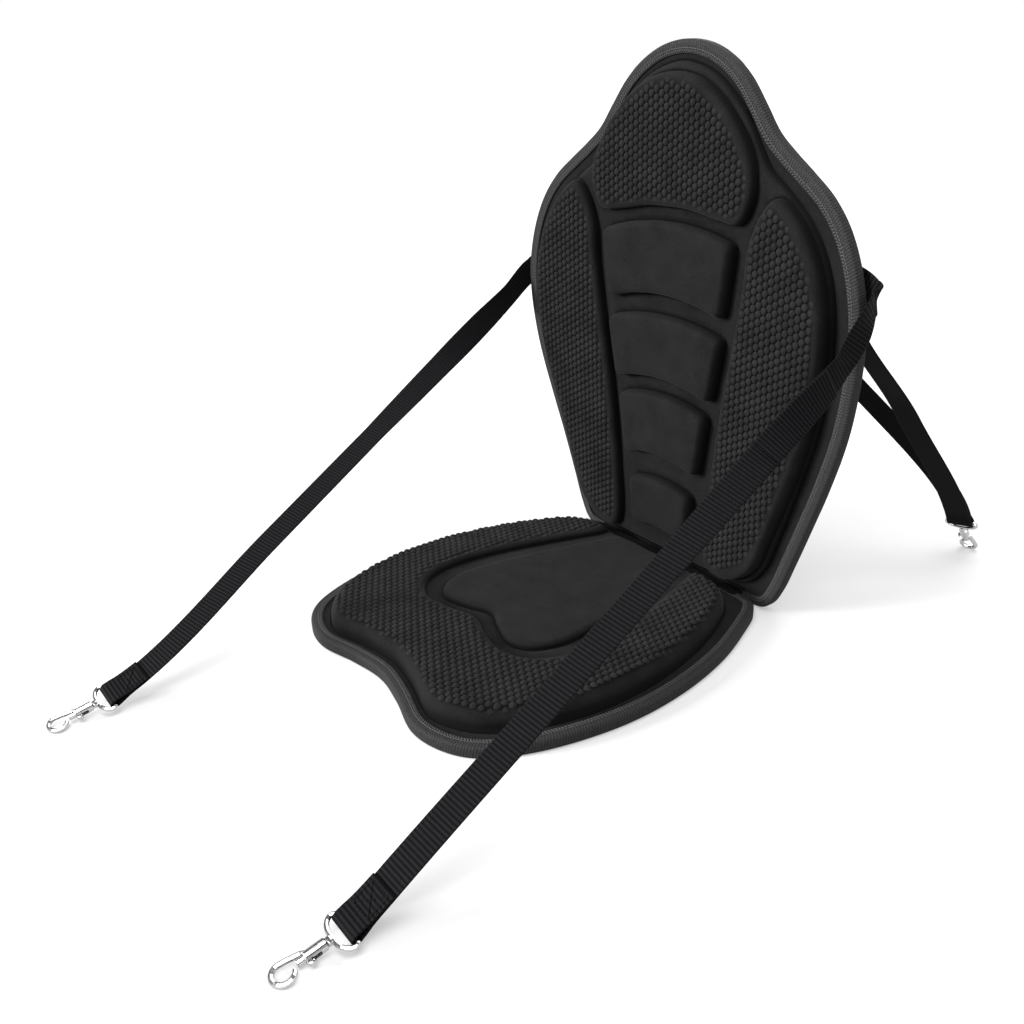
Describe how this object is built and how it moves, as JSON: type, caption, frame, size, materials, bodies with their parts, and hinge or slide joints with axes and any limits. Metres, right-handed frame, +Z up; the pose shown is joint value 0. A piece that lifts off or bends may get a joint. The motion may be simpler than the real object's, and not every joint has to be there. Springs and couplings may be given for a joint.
{
  "type": "kayak seat",
  "caption": "Moulded foam kayak seat: low base, tall padded backrest, fabric hinge between them, webbing straps and swivel bolt snaps.",
  "frame": {"origin": "on the floor, midway across the seat and between the base's front edge and the backrest's rear, straps left out", "axes": "+Z up, +Y towards the backrest's rear, +X to the right when looking along +Y"},
  "size_m": [0.4874, 0.89, 0.514],
  "materials": {
    "black_fabric": "matt knit on foam",
    "rim_tape": "woven tape",
    "hinge_cloth": "coated cloth",
    "webbing": "ribbed webbing",
    "nickel_plate": "bright plate",
    "spring_steel": "drawn wire"
  },
  "bodies": {
    "seat": {"seat_panel": "black_fabric", "seat_rim_tape": "rim_tape", "backrest_panel": "black_fabric", "backrest_rim_tape": "rim_tape", "hinge_cloth": "hinge_cloth", "front_strap_left": "webbing", "front_strap_right": "webbing", "front_strap_right_tail": "webbing", "rear_strap": "webbing", "strap_patch_left": "webbing", "strap_patch_right": "webbing", "strap_patch_middle": "webbing", "front_left_snap_eye": "nickel_plate", "front_right_snap_eye": "nickel_plate", "rear_snap_eye": "nickel_plate"},
    "front_left_hook": {"front_left_snap_hook": "nickel_plate", "front_left_snap_spring": "spring_steel"},
    "front_left_bolt": {"front_left_snap_bolt": "nickel_plate"},
    "front_right_hook": {"front_right_snap_hook": "nickel_plate", "front_right_snap_spring": "spring_steel"},
    "front_right_bolt": {"front_right_snap_bolt": "nickel_plate"},
    "rear_hook": {"rear_snap_hook": "nickel_plate", "rear_snap_spring": "spring_steel"},
    "rear_bolt": {"rear_snap_bolt": "nickel_plate"}
  },
  "joints": [
    {"name": "front_left_swivel", "type": "hinge", "parent": "seat", "child": "front_left_hook", "pos_m": [-0.111, -0.4345, 0.00278], "axis": [-0.0698, 0.9867, 0.1465], "continuous": true},
    {"name": "front_left_bolt_slide", "type": "slide", "parent": "front_left_hook", "child": "front_left_bolt", "axis": [-0.0698, 0.9867, 0.1465], "range_m": [0, 0.006], "stiffness_N_per_m": 120, "springref_m": -0.008, "deforming": ["front_left_snap_spring"]},
    {"name": "front_right_swivel", "type": "hinge", "parent": "seat", "child": "front_right_hook", "pos_m": [0.245, -0.3835, 0.00202], "axis": [-0.06, 0.9897, 0.13], "continuous": true},
    {"name": "front_right_bolt_slide", "type": "slide", "parent": "front_right_hook", "child": "front_right_bolt", "axis": [-0.06, 0.9897, 0.13], "range_m": [0, 0.006], "stiffness_N_per_m": 120, "springref_m": -0.008, "deforming": ["front_right_snap_spring"]},
    {"name": "rear_swivel", "type": "hinge", "parent": "seat", "child": "rear_hook", "pos_m": [0.183, 0.4545, 0.00049], "axis": [0.0601, -0.6211, 0.7814], "continuous": true},
    {"name": "rear_bolt_slide", "type": "slide", "parent": "rear_hook", "child": "rear_bolt", "axis": [0.0601, -0.6211, 0.7814], "range_m": [0, 0.006], "stiffness_N_per_m": 120, "springref_m": -0.008, "deforming": ["rear_snap_spring"]}
  ]
}
